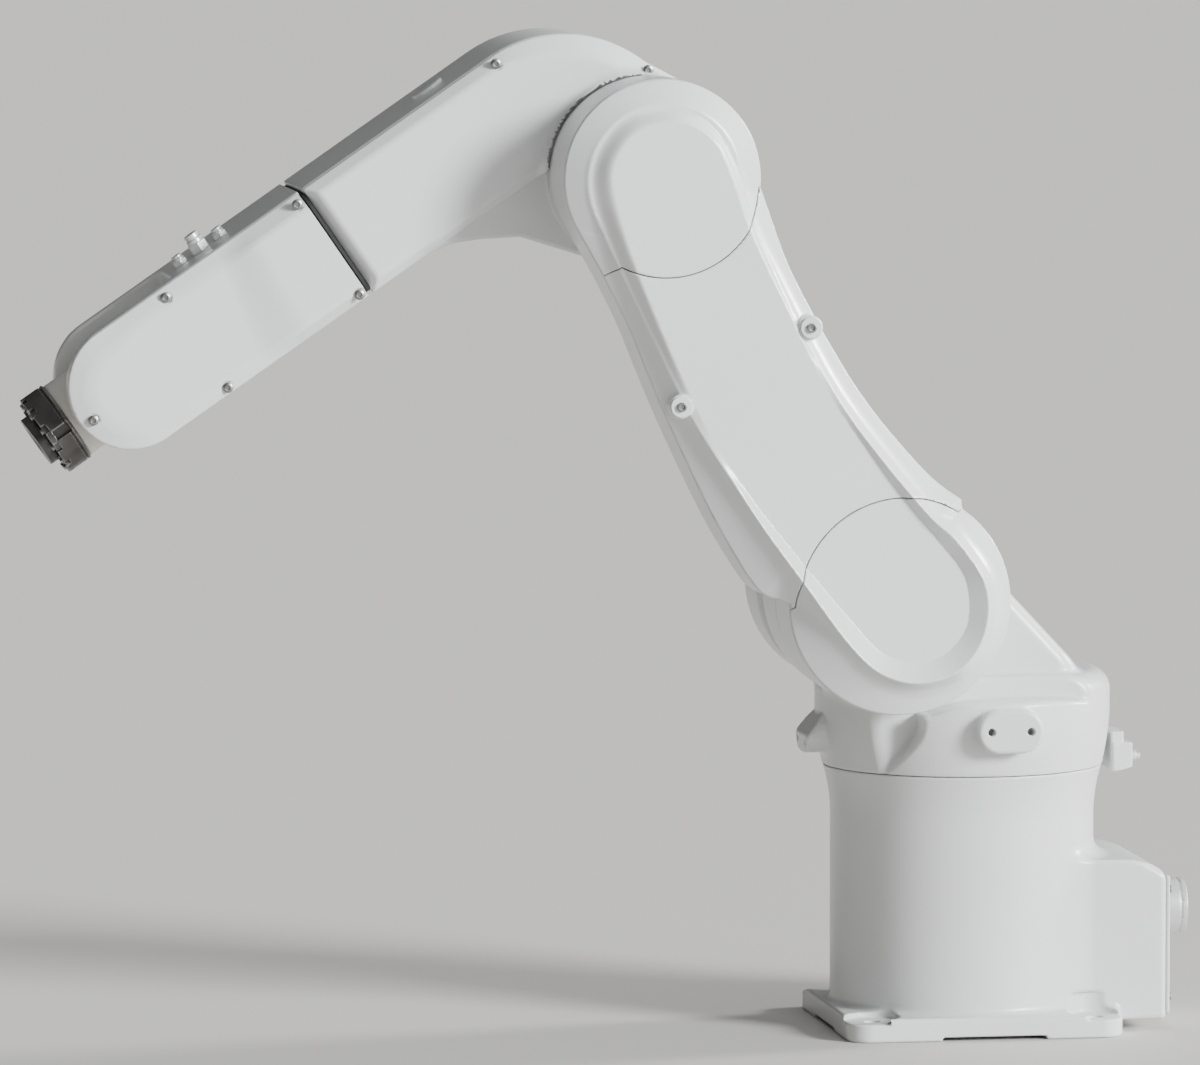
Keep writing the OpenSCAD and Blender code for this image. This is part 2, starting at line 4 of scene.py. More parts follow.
import bpy
import numpy as np
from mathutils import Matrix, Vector


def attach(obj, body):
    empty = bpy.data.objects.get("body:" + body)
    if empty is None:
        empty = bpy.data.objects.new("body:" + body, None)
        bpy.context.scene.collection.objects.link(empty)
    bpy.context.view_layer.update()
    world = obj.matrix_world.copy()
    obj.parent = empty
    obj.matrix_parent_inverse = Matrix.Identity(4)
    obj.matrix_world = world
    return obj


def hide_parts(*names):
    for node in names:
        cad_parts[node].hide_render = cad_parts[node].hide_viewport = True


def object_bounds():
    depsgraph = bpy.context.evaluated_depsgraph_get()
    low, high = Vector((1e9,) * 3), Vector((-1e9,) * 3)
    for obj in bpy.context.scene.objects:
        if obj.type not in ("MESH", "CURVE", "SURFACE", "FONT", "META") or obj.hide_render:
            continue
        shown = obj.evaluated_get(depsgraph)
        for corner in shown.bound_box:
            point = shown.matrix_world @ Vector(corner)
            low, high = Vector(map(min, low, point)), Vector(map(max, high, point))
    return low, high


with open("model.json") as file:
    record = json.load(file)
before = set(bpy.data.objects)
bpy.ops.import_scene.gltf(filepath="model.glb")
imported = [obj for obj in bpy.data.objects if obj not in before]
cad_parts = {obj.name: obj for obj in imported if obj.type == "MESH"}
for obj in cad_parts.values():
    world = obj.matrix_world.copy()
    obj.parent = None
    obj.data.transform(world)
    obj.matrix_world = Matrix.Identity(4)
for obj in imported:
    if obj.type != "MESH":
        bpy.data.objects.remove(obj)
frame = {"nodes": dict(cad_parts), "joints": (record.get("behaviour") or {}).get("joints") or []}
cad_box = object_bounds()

# Lengths are millimetres in the helpers below, and metres once a piece is in the scene.
MM = 0.001

# ---- frames ------------------------------------------------------------------------------

JOINTS = {j["name"]: j for j in frame["joints"]}


def joint_at(name):
    return np.array(JOINTS[name]["pos_m"]) / MM


class Place:
    """An origin and three axes, the columns of turn, in the row frame."""

    def __init__(self, origin, x_axis, z_axis):
        self.origin = np.array(origin, float)
        self.turn = np.column_stack([x_axis, np.cross(z_axis, x_axis), z_axis])

    def to_row(self, points):
        return points @ self.turn.T + self.origin

    def to_local(self, points):
        return (points - self.origin) @ self.turn


def unit(v):
    return np.array(v, float) / np.linalg.norm(v)


shoulder_axis = joint_at("j2_shoulder")
elbow_axis = joint_at("j3_elbow")
wrist_axis = joint_at("j5_wrist_bend")
link_z = unit(elbow_axis - shoulder_axis)
link_x = np.cross([0, 1, 0], link_z)
fore_x = unit(JOINTS["j4_forearm_roll"]["axis"])
fore_z = np.cross(fore_x, [0, 1, 0])

ROW = Place((0, 0, 0), (1, 0, 0), (0, 0, 1))
LINK = Place(shoulder_axis, link_x, link_z)      # +Z runs from the shoulder to the elbow axis
FORE = Place(elbow_axis, fore_x, fore_z)         # +X runs along the forearm
WRIST = Place(wrist_axis, fore_x, fore_z)        # +X runs to the tool


def node_points(node, place):
    mesh = frame["nodes"][node].data
    co = np.empty(len(mesh.vertices) * 3)
    mesh.vertices.foreach_get("co", co)
    return place.to_local(co.reshape(-1, 3) / MM)


def extent(node, place):
    points = node_points(node, place)
    return points.min(0), points.max(0)


def spots(node, place, axis, gap):
    """The low and high corners of a CAD node's solids, which stand more than gap apart across the axis."""
    points = node_points(node, place)
    found = []
    while len(points):
        flat = np.delete(points, axis, 1)
        near = np.arange(len(points)) == 0
        count = 0
        while near.sum() > count:
            count = near.sum()
            close = (flat > flat[near].min(0) - gap) & (flat < flat[near].max(0) + gap)
            near = close.all(1) & (points[:, axis] * points[0, axis] > 0)
        found.append((points[near].min(0), points[near].max(0)))
        points = points[~near]
    return found


# ---- solids as distance fields -------------------------------------------------------------

def meet(a, b, r=0.0):
    """What is in both, its edge rounded to r."""
    if r == 0:
        return np.maximum(a, b)
    return np.minimum(np.maximum(a, b), -r) + np.hypot(np.maximum(a + r, 0), np.maximum(b + r, 0))


def join(a, b, r=0.0):
    """Both together, with a hollow fillet of radius r where they cross."""
    return -meet(-a, -b, r)


def cut(a, b, r=0.0):
    return meet(a, -b, r)


def disc(u, v, r):
    return np.hypot(u, v) - r


def between(t, low, high):
    return np.maximum(low - t, t - high)


def slab(t, low, high, side, r):
    """The outline side made solid from low to high, both rims rounded to r."""
    return meet(meet(side, low - t, r), t - high, r)


def rounded(u, v, half_u, half_v, r):
    """A rectangle with round corners."""
    a, b = np.abs(u) - half_u + r, np.abs(v) - half_v + r
    return np.hypot(np.maximum(a, 0), np.maximum(b, 0)) + np.minimum(np.maximum(a, b), 0) - r


def obround(u, v, width, height):
    return np.hypot(np.maximum(np.abs(u) - (width - height) / 2, 0), v) - height / 2


def hexagon(u, v, flat):
    slanted = np.maximum(np.abs(u / 2 + v * 0.866), np.abs(u / 2 - v * 0.866))
    return np.maximum(np.abs(u), slanted) - flat / 2


def ease(t):
    """0 before 0, 1 after 1, with a soft start and end."""
    t = np.clip(t, 0, 1)
    return t * t * (3 - 2 * t)


def arc(centre, r, a0, a1, n=24):
    turns = [radians(a0 + (a1 - a0) * i / n) for i in range(n + 1)]
    return [(centre[0] + r * cos(t), centre[1] + r * sin(t)) for t in turns]


def bow(points, n=6):
    """A smooth curve through a few points."""
    p = np.array([points[0], *points, points[-1]], float)
    t = np.linspace(0, 1, n, endpoint=False)[:, None]
    parts = [0.5 * (2 * b + (c - a) * t + (2 * a - 5 * b + 4 * c - d) * t ** 2
                    + (3 * b - a - 3 * c + d) * t ** 3)
             for a, b, c, d in zip(p, p[1:], p[2:], p[3:])]
    return [tuple(q) for q in np.vstack([*parts, p[-1:]])]


class Outline:
    """The distance to a closed outline, kept on a fine grid and read between its points."""

    def __init__(self, points, cell=1.0, margin=30.0):
        p = np.array(points, float)
        self.cell, self.low = cell, p.min(0) - margin
        size = np.ceil((p.max(0) + margin - self.low) / cell).astype(int) + 1
        u, v = (self.low[i] + cell * np.arange(size[i]) for i in (0, 1))
        u, v = u[:, None], v[None, :]
        far, inside = np.full(size, 1e9), np.zeros(size, bool)
        for (au, av), (bu, bv) in zip(p, np.roll(p, -1, 0)):
            eu, ev = bu - au, bv - av
            span = eu * eu + ev * ev
            if span < 1e-12:
                continue
            t = np.clip(((u - au) * eu + (v - av) * ev) / span, 0, 1)
            far = np.minimum(far, (u - au - t * eu) ** 2 + (v - av - t * ev) ** 2)
            if ev != 0:
                inside ^= ((av <= v) != (bv <= v)) & (u < au + (v - av) * eu / ev)
        far = np.sqrt(far) * np.where(inside, -1, 1)
        for axis in (0, 1):
            far = (np.roll(far, 1, axis) + 2 * far + np.roll(far, -1, axis)) / 4
        self.far = far

    def __call__(self, u, v):
        s = np.clip((u - self.low[0]) / self.cell, 0, self.far.shape[0] - 1.001)
        t = np.clip((v - self.low[1]) / self.cell, 0, self.far.shape[1] - 1.001)
        i, j = s.astype(int), t.astype(int)
        s, t, d = s - i, t - j, self.far
        near = d[i, j] * (1 - s) + d[i + 1, j] * s
        beyond = d[i, j + 1] * (1 - s) + d[i + 1, j + 1] * s
        return near * (1 - t) + beyond * t


# ---- meshes from fields ----------------------------------------------------------------------

def slope(field, p, h=0.12):
    g = np.stack([field(*(p + h * e).T) - field(*(p - h * e).T) for e in np.eye(3)], -1)
    return g / np.maximum(np.linalg.norm(g, axis=1, keepdims=True), 1e-9)


def lines(low, high, step, fine):
    """Grid lines along one axis, closer together inside each (from, to, step) of fine."""
    at = [low - 1.5 * step]
    while at[-1] < high + 1.5 * step:
        close = [f[2] for f in fine if f[0] - step <= at[-1] < f[1]]
        at.append(at[-1] + min(close, default=step))
    return np.array(at)


HOLD = 0.04                 # how strongly a vertex keeps to the middle of its cell's crossings
CREASE = radians(14)        # a corner whose own normal turns further than this shows as an edge


def surface(field, low, high, step, fine=((), (), ())):
    """Dual contouring: the vertices, quads and corner normals of the surface field = 0."""
    axes = [lines(low[a], high[a], step, fine[a]) for a in range(3)]
    shape = tuple(len(a) for a in axes)
    value = np.array(np.broadcast_to(field(*np.meshgrid(*axes, indexing="ij", sparse=True)), shape))
    for axis in range(3):
        np.moveaxis(value, axis, 0)[[0, -1]] = step
    inside = value < 0
    cells, points = [], []
    for axis in range(3):
        along, right, up = (np.eye(3, dtype=int)[(axis + k) % 3] for k in range(3))
        first = np.take(inside, range(shape[axis] - 1), axis)
        second = np.take(inside, range(1, shape[axis]), axis)
        spot = np.argwhere(first != second)
        a, b = value[tuple(spot.T)], value[tuple((spot + along).T)]
        ends = [np.stack([axes[k][s[:, k]] for k in range(3)], 1) for s in (spot, spot + along)]
        points.append(ends[0] + (a / (a - b))[:, None] * (ends[1] - ends[0]))
        back = (0 * right, right, right + up, up)
        ring = np.stack([np.ravel_multi_index((spot - b).T, shape) for b in back], 1)
        cells.append(np.where((a < 0)[:, None], ring, ring[:, ::-1]))
    cells, points = np.vstack(cells), np.vstack(points)
    used, quads = np.unique(cells, return_inverse=True)
    quads = quads.reshape(-1, 4)
    normal = slope(field, points)

    def total(weights):
        return sum(np.bincount(quads[:, k], weights, len(used)) for k in range(4))

    count = total(np.ones(len(points)))
    middle = np.stack([total(points[:, k]) for k in range(3)], 1) / count[:, None]
    reach = (normal * points).sum(1)
    pull = np.array([[total(normal[:, i] * normal[:, j]) for j in range(3)] for i in range(3)])
    pull = pull.transpose(2, 0, 1)
    push = np.stack([total(normal[:, i] * reach) for i in range(3)], 1)
    push -= (pull @ middle[:, :, None])[:, :, 0]
    soft = pull + HOLD * count[:, None, None] * np.eye(3)
    vertex = middle + np.linalg.solve(soft, push[:, :, None])[:, :, 0]
    corner = np.stack(np.unravel_index(used, shape), 1)
    floor = np.stack([axes[k][corner[:, k]] for k in range(3)], 1)
    roof = np.stack([axes[k][corner[:, k] + 1] for k in range(3)], 1)
    vertex = np.clip(vertex, floor, roof)
    facing = slope(field, vertex)
    vertex -= np.clip(field(*vertex.T), -0.3 * step, 0.3 * step)[:, None] * facing
    vertex = np.clip(vertex, low, high)
    shown = vertex[quads]
    inner = shown + 0.16 * (shown.mean(1, keepdims=True) - shown)
    own = slope(field, inner.reshape(-1, 3)).reshape(-1, 4, 3)
    shared = facing[quads]
    own[(own * shared).sum(2) > cos(CREASE)] = 0
    own = np.where((own == 0).all(2, keepdims=True), shared, own)
    return vertex, quads, own.reshape(-1, 3)


def piece(node, body, parts, place, finish):
    """One closed mesh made of parts, (vertices, quads, normals) each, standing for a CAD node."""
    name = node + "_skin"
    mesh = bpy.data.meshes.new(name)
    counts = np.cumsum([0] + [len(p[0]) for p in parts])
    vertices = np.vstack([place.to_row(p[0]) for p in parts]) * MM
    quads = np.vstack([p[1] + c for p, c in zip(parts, counts)])
    normals = np.vstack([p[2] for p in parts]) @ place.turn.T
    mesh.vertices.add(len(vertices))
    mesh.vertices.foreach_set("co", vertices.ravel())
    mesh.loops.add(quads.size)
    mesh.loops.foreach_set("vertex_index", quads.ravel().astype(np.int32))
    mesh.polygons.add(len(quads))
    mesh.polygons.foreach_set("loop_start", np.arange(0, quads.size, 4, dtype=np.int32))
    mesh.update(calc_edges=True)
    mesh.shade_smooth()
    mesh.normals_split_custom_set(normals)
    mesh.materials.append(MATERIALS[finish])
    obj = bpy.data.objects.new(name, mesh)
    bpy.context.scene.collection.objects.link(obj)
    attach(obj, body)
    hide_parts(node)


def moved(part, shift, turn=((1, 0, 0), (0, 1, 0), (0, 0, 1))):
    """A part turned and carried to a new place."""
    turn = np.array(turn, float)
    return part[0] @ turn.T + shift, part[1], part[2] @ turn.T


# ---- materials -------------------------------------------------------------------------------

WORN_STEEL = (0.62, 0.62, 0.61)


def material(name, colour, rough, *, metallic=0.0, tone=0.04, patch=9.0, rough_swing=0.06,
             grain=600.0, bump=0.2, depth=0.00008, coat=0.0, coat_rough=0.1, wear=0.0):
    """A finish with uneven tone, uneven gloss, a surface grain and, on metals, brighter worn edges."""
    made = bpy.data.materials.new(name)
    made.use_nodes = True
    nodes, links = made.node_tree.nodes, made.node_tree.links
    shader = nodes["Principled BSDF"]
    shader.inputs["Metallic"].default_value = metallic
    shader.inputs["Coat Weight"].default_value = coat
    shader.inputs["Coat Roughness"].default_value = coat_rough

    where = nodes.new("ShaderNodeTexCoord")

    def noise(scale, detail):
        made_noise = nodes.new("ShaderNodeTexNoise")
        made_noise.inputs["Scale"].default_value = scale
        made_noise.inputs["Detail"].default_value = detail
        links.new(where.outputs["Object"], made_noise.inputs["Vector"])
        return made_noise.outputs["Fac"]

    patches = noise(patch, 4)
    ramp = nodes.new("ShaderNodeValToRGB")
    darker = tuple(c * (1 - tone) for c in colour[:2]) + (colour[2] * (1 - tone * 1.15), 1)
    first, last = ramp.color_ramp.elements
    first.position, first.color = 0.3, darker
    last.position, last.color = 0.7, (*colour, 1)
    links.new(patches, ramp.inputs["Fac"])
    tint = ramp.outputs["Color"]
    if wear:
        edges = nodes.new("ShaderNodeNewGeometry").outputs["Pointiness"]
        worn = nodes.new("ShaderNodeMapRange")
        worn.inputs["From Min"].default_value = 0.52
        worn.inputs["From Max"].default_value = 0.60
        worn.inputs["To Max"].default_value = wear
        links.new(edges, worn.inputs["Value"])
        mixed = nodes.new("ShaderNodeMix")
        mixed.data_type = "RGBA"
        mixed.inputs["B"].default_value = (*WORN_STEEL, 1)
        links.new(worn.outputs["Result"], mixed.inputs["Factor"])
        links.new(tint, mixed.inputs["A"])
        tint = mixed.outputs["Result"]
    links.new(tint, shader.inputs["Base Color"])

    gloss = nodes.new("ShaderNodeMapRange")
    gloss.inputs["To Min"].default_value = rough - rough_swing
    gloss.inputs["To Max"].default_value = rough + rough_swing
    links.new(noise(patch * 5, 5), gloss.inputs["Value"])
    links.new(gloss.outputs["Result"], shader.inputs["Roughness"])

    relief = nodes.new("ShaderNodeBump")
    relief.inputs["Strength"].default_value = bump
    relief.inputs["Distance"].default_value = depth
    links.new(noise(grain, 3), relief.inputs["Height"])
    links.new(relief.outputs["Normal"], shader.inputs["Normal"])
    return made


MATERIALS = {
    "white_paint": material("white_powder_paint", (0.70, 0.71, 0.71), 0.36, tone=0.035, coat=0.25,
                            coat_rough=0.22, grain=520, bump=0.22, depth=0.00006),
    "white_cover": material("white_cover_paint", (0.73, 0.74, 0.745), 0.31, tone=0.025, coat=0.35,
                            coat_rough=0.16, grain=620, bump=0.15, depth=0.00005),
    "wrist_paint": material("wrist_warm_paint", (0.70, 0.675, 0.62), 0.40, tone=0.04, coat=0.2,
                            coat_rough=0.25),
    "fitting": material("fitting_satin", (0.70, 0.71, 0.71), 0.34, metallic=0.35, tone=0.08, patch=60),
    "seal": material("seal_rubber", (0.018, 0.018, 0.02), 0.72, tone=0.3, grain=900, bump=0.4),
    "dark_steel": material("blackened_steel", (0.12, 0.115, 0.11), 0.34, metallic=0.9, tone=0.25, patch=70,
                           rough_swing=0.1, grain=900, bump=0.12, wear=0.8),
    "bright_steel": material("machined_steel", (0.58, 0.58, 0.57), 0.28, metallic=1.0, tone=0.12, patch=80,
                             rough_swing=0.08, grain=1400, bump=0.12, wear=0.5),
    "screw_steel": material("screw_zinc_steel", (0.30, 0.30, 0.30), 0.32, metallic=1.0, tone=0.2,
                            patch=200, wear=0.7),
    "connector": material("connector_alloy", (0.60, 0.61, 0.61), 0.38, metallic=0.35, tone=0.08, patch=70),
    "motor": material("motor_enamel", (0.03, 0.03, 0.034), 0.42, tone=0.3, patch=40, wear=0.3),
    "belt": material("belt_rubber", (0.02, 0.02, 0.02), 0.65, tone=0.3, grain=1100, bump=0.4),
}

NODE_FINISH = {
    "j1_seal": "seal", "j4_seal": "seal", "j5_belt": "belt",
    "j1_motor": "motor", "j2_motor": "motor", "j3_motor": "motor", "j4_motor": "motor", "j5_motor": "motor",
    "j6_motor": "motor",
}


def dress_node(name, obj):
    """Gives a CAD node that stays its own finish."""
    steel = any(word in name for word in ("reducer", "hub", "pulley", "bearing", "shaft"))
    finish = NODE_FINISH.get(name, "bright_steel" if steel else "white_paint")
    obj.data.materials.clear()
    obj.data.materials.append(MATERIALS[finish])


for node_name, node_obj in frame["nodes"].items():
    dress_node(node_name, node_obj)

# ---- base --------------------------------------------------------------------------------------

base_low, base_high = extent("base_casting", ROW)
foot_half = base_high[1]              # as wide as the column's flare, a little wider than the CAD foot
foot_top, foot_corner = 18, 18
foot_bolt, foot_hole_r = foot_half - 20, 6
seat_r, seat_z = 21, 14               # the round seat sunk into the foot at each bolt
foot_relief = 3
seam_z = base_high[2]
column_r, column_wall = 100, 10
flare_z, flare = 160, 6
motor_top_z, reducer_r, motor_neck_r = 142, 72, 50
housing_x0, housing_x1, housing_half = base_low[0], -50, 68
housing_z0, housing_top = 8, 130
housing_drop = 10.5                   # how far the housing's top slopes down by its rear edge


def column_radius(z):
    return column_r + flare * np.clip((z - flare_z) / (seam_z - flare_z), 0, 1) ** 2


def base_field(x, y, z):
    ax, ay = np.abs(x), np.abs(y)
    foot = slab(z, 0, foot_top, rounded(x, y, foot_half, foot_half, foot_corner), 2.2)
    column = slab(z, 2, seam_z, disc(x, y, column_radius(z)), 0.6)
    mid_x, half_x = (housing_x0 + housing_x1) / 2, (housing_x1 - housing_x0) / 2
    housing = slab(z, housing_z0, housing_top, rounded(x - mid_x, y, half_x, housing_half, 5), 3)
    slope_face = -0.5 * (x - housing_x0) + 0.866 * (z - housing_top + housing_drop)
    housing = meet(housing, slope_face, 6)
    body = join(join(column, housing, 13), foot, 5)
    seat = meet(disc(ax - foot_bolt, ay - foot_bolt, seat_r), between(z, seat_z, foot_top + 12), 1.5)
    body = cut(body, seat, 1.3)
    hollow = meet(disc(x, y, column_r - column_wall), between(z, foot_top - 2, motor_top_z), 4)
    hollow = join(hollow, meet(disc(x, y, reducer_r), motor_top_z + 8 - z), 0)
    hollow = join(hollow, meet(disc(x, y, motor_neck_r), motor_top_z - 2 - z), 0)
    body = cut(body, hollow)
    body = cut(body, disc(ax - foot_bolt, ay - foot_bolt, foot_hole_r), 0.8)
    arch = np.minimum(between(x, -45, 35), between(y, -40, 40))
    return cut(body, meet(arch, z - foot_relief, 1.5), 1)


piece("base_casting", "base", [surface(base_field, base_low, base_high, 2.4)],
      ROW, "white_paint")

panel_low, panel_high = extent("rear_panel", ROW)
main_low, main_high = extent("main_connector", ROW)
signal_low, signal_high = extent("signal_connector", ROW)
main_y, main_z = (main_low + main_high)[1:] / 2
signal_y, signal_z = (signal_low + signal_high)[1:] / 2
port_spots = [(low + high) / 2 for low, high in spots("base_air_ports", ROW, 0, 3)]


main_neck_r, signal_neck_r, port_neck_r = 18, 8.5, 4
neck_gap = 0.5


def panel_field(x, y, z):
    mid_z = (panel_low[2] + panel_high[2]) / 2
    side = rounded(y, z - mid_z, panel_high[1], (panel_high[2] - panel_low[2]) / 2, 3)
    body = slab(x, panel_low[0], panel_high[0], side, 0.7)
    body = cut(body, disc(y - main_y, z - main_z, main_neck_r + neck_gap))
    body = cut(body, disc(y - signal_y, z - signal_z, signal_neck_r + neck_gap))
    for p in port_spots:
        body = cut(body, disc(y - p[1], z - p[2], port_neck_r + neck_gap))
    return body


piece("rear_panel", "base", [surface(panel_field, panel_low, panel_high, 1.2)],
      ROW, "white_paint")


def socket_part(low, high, flange_r, barrel_r, bore_r, flange_t, pins):
    """A round panel connector facing -X: a flange, a barrel with a grip groove, and pins on its floor."""
    face = panel_low[0]
    mid_y, mid_z = (low + high)[1:] / 2

    def field(x, y, z):
        r = np.hypot(y - mid_y, z - mid_z)
        flange = slab(x, face - flange_t, face, r - flange_r, 0.5)
        barrel = slab(x, low[0], face, r - barrel_r, 0.9)
        groove = meet(between(x, low[0] + 4, low[0] + 5.5), barrel_r - 0.8 - r)
        stem = meet(r - bore_r, between(x, face - 1, high[0]), 0.4)
        body = np.minimum(np.minimum(flange, cut(barrel, groove, 0.3)), stem)
        body = cut(body, meet(r - bore_r * 0.86, x - face + flange_t), 0.3)
        turn = np.arctan2(z - mid_z, y - mid_y)
        step = 2 * pi / pins
        offset = np.abs((turn / step) % 1 - 0.5) * step * bore_r * 0.5
        pin = meet(np.hypot(offset, r - bore_r * 0.5) - bore_r * 0.09, between(x, low[0] + 3, face))
        return np.minimum(body, pin)

    return surface(field, low, high, barrel_r / 18)


piece("main_connector", "base", [socket_part(main_low, main_high, 24, 21.5, main_neck_r, 4, 8)],
      ROW, "connector")
piece("signal_connector", "base", [socket_part(signal_low, signal_high, 12, 10, signal_neck_r, 2, 5)],
      ROW, "connector")


# ---- shoulder ------------------------------------------------------------------------------------

# Outline of the upper arm, seen from its side
shoulder_r, elbow_r = 84, 74
link_len = np.linalg.norm(elbow_axis - shoulder_axis)
front_bow = [(77, 48), (88, 62), (91, 100), (90.5, 137), (86, 200), (81, 245), (76, 285), (74, 330)]
rear_bow = [(-61, 324), (-57, 301), (-51, 264), (-49, 222), (-50, 165), (-55, 122), (-66, 72), (-78, 44)]
link_body = Outline([(40, 0), *bow(front_bow), (74, link_len), (-60, link_len), *bow(rear_bow), (-60, 0)])


def link_side(x, z):
    return np.minimum(np.minimum(disc(x, z, shoulder_r), disc(x, z - link_len, elbow_r)), link_body(x, z))


swing_back, swing_front = -100, 135      # the upper arm's limits, from vertical
swing_r, swing_gap = 93, 4


def swing_side(x, z):
    """Everything the upper arm passes over between its limits, with a working clearance."""
    swept = disc(x, z, swing_r)
    for lean in (swing_back, swing_front):
        c, s = cos(radians(lean)), sin(radians(lean))
        swept = np.minimum(swept, link_side(x * c - z * s, x * s + z * c) - swing_gap)
    way = np.degrees(np.arctan2(x, z))
    fan = np.maximum(swing_back - way, way - swing_front) * np.maximum(np.hypot(x, z), 40) * pi / 180
    return np.minimum(swept, fan)


shoulder_low, shoulder_high = extent("shoulder_casting", ROW)
deck_z, deck_r, deck_rim, deck_rise = 272, 112, 16, 45
swivel_z = seam_z + 0.6
joint_face = extent("j2_reducer", ROW)[1][1] + 2
motor_face = extent("j2_motor_cover", ROW)[1][1]
sx, sz = shoulder_axis[0], shoulder_axis[2]


def hull(points):
    """The convex outline round a set of points."""
    points = sorted(set(points))
    rim = []
    for run in (points, points[::-1]):
        part = []
        for p in run:
            while len(part) > 1 and ((part[-1][0] - part[-2][0]) * (p[1] - part[-2][1])
                                     - (part[-1][1] - part[-2][1]) * (p[0] - part[-2][0])) <= 0:
                part.pop()
            part.append(p)
        rim += part[:-1]
    return rim


tower_top_r, tower_half, tower_rear, tower_front = 72, 66, -88, 92
tower_foot = [(x, deck_z - drop) for x in (tower_rear, tower_front) for drop in (14, 6)]
tower_side = Outline(hull([*arc((sx, sz), tower_top_r, 0, 360, 96), *tower_foot]))
boss_r, boss_back = 83, 20               # the round bosses at the shoulder axis
pad_wide, pad_tall, pad_face = 50, 33, 124
pad_hole, pad_hole_deep = 15, 14         # each pad's holes, from its middle, and their depth
pad_x, pad_z, pad_hole_r = -13, 235, 2.9
front_pad_z, front_hole_drop, front_hole_r = 226, 8, 2.1


def shoulder_field(x, y, z):
    r = np.hypot(x, y)
    lip_r = column_r + flare + 0.5
    wall = lip_r + (deck_r - lip_r) * np.sin(pi / 2 * np.clip((z - swivel_z) / deck_rise, 0, 1))
    deck = meet(meet(r - wall, z - deck_z, deck_rim), swivel_z - z, 0.4)
    tower = meet(tower_side(x, z), np.abs(y) - tower_half, 11)
    tower = np.where(x < 0, meet(tower, r - 99, 10), tower)
    tower = np.maximum(tower, deck_z - 20 - z)
    ring = disc(x - sx, z - sz, boss_r)
    boss = np.minimum(slab(y, boss_back, joint_face, ring, 3), slab(y, motor_face, -boss_back, ring + 3, 3))
    body = join(join(deck, tower, 4), boss, 7)
    pads = slab(np.abs(y), 60, pad_face, obround(x - pad_x, z - pad_z, pad_wide, pad_tall), 3)
    body = join(body, pads, 1.5)
    front = slab(x, 60, pad_face, obround(y, z - front_pad_z, pad_wide, pad_tall), 1.2)
    front = meet(front, 0.785 * (x - pad_face) + 0.62 * (z - front_pad_z + 2.5), 1.5)
    body = join(body, front, 1.5)
    body = cut(body, meet(swing_side(x - sx, z - sz), joint_face - y, 3), 4)
    body = cut(body, meet(disc(x - sx, z - sz, 79), y - motor_face))
    body = cut(body, meet(disc(x - sx, z - sz, 60), 24 - y))
    floor = pad_face - pad_hole_deep
    holes = meet(disc(np.abs(x - pad_x) - pad_hole, z - pad_z, pad_hole_r), floor - np.abs(y))
    front_hole = disc(np.abs(y) - pad_hole, z - front_pad_z + front_hole_drop, front_hole_r)
    return cut(body, np.minimum(holes, meet(front_hole, floor - x)), 0.4)


def fine_round(places):
    """A finer grid within 4 mm of each place along an axis."""
    return [(at - 4, at + 4, 0.8) for at in places]


pad_fine = (fine_round([pad_x - pad_hole, pad_x + pad_hole]), fine_round([-pad_hole, pad_hole]),
            fine_round([front_pad_z - front_hole_drop, pad_z]))
piece("shoulder_casting", "shoulder",
      [surface(shoulder_field, (shoulder_low[0], -pad_face, swivel_z), shoulder_high, 2.0, pad_fine)],
      ROW, "white_paint")

block_low, block_high = extent("shoulder_service_block", ROW)


block_step = 8      # how far the block's narrower top stands up


def service_block_field(x, y, z):
    lower = meet(between(x, block_low[0], block_high[0]), np.abs(y) - block_high[1], 1.5)
    lower = meet(lower, between(z, block_low[2], block_high[2] - block_step), 1.5)
    lower = meet(lower, 0.26 * (block_low[0] - x) + 0.966 * (block_low[2] + 3 - z), 1)
    top_side = rounded(x - block_low[0] - 11, y, 5, block_high[1] - 4, 2)
    return join(lower, slab(z, block_low[2] + 5, block_high[2], top_side, 1), 0.8)


piece("shoulder_service_block", "shoulder",
      [surface(service_block_field, block_low, block_high, 0.9)], ROW, "white_paint")

AXIS2 = Place(shoulder_axis, (1, 0, 0), (0, 0, 1))
cover2_bolts = [(low + high) / 2 for low, high in spots("j2_cover_screws", AXIS2, 1, 2)]


motor_plate_r, motor_plate_back, motor_dome_back = 76, -80, -116
motor_dome_r, motor_dome_wall, motor_hole_r = 54, 7, 2.6


def motor_cover_field(x, y, z):
    r = np.hypot(x, z)
    plate = slab(y, motor_plate_back, motor_face, r - motor_plate_r, 2)
    dome_side = r - motor_dome_r - 6 * (y - motor_dome_back) / 44
    body = join(plate, slab(y, motor_dome_back, motor_plate_back + 2, dome_side, 9), 4)
    dish = meet(r - 36, y - motor_dome_back - 1.4)
    body = cut(body, dish, 1)
    for p in cover2_bolts:
        body = cut(body, disc(x - p[0], z - p[2], motor_hole_r), 0.3)
    return cut(body, meet(r - 50, motor_dome_back + motor_dome_wall - y), 1)


piece("j2_motor_cover", "shoulder",
      [surface(motor_cover_field, (-motor_plate_r, motor_dome_back, -motor_plate_r),
               (motor_plate_r, motor_face, motor_plate_r), 1.8)],
      AXIS2, "white_cover")

# ---- upper arm -----------------------------------------------------------------------------------

arm_low, arm_high = extent("upper_arm_casting", LINK)
arm_back, arm_seam = arm_low[1], arm_high[1]
cover_face = extent("upper_arm_mid_cover", LINK)[1][1]
split_r2, split_r3 = 80, 72      # the arcs where the end covers meet the middle one
split_z2, split_z3 = 38, link_len - 40


def closed(points):
    """A smooth closed outline through a few points."""
    return bow([points[-1], *points, points[0], points[1]])[6:-7]


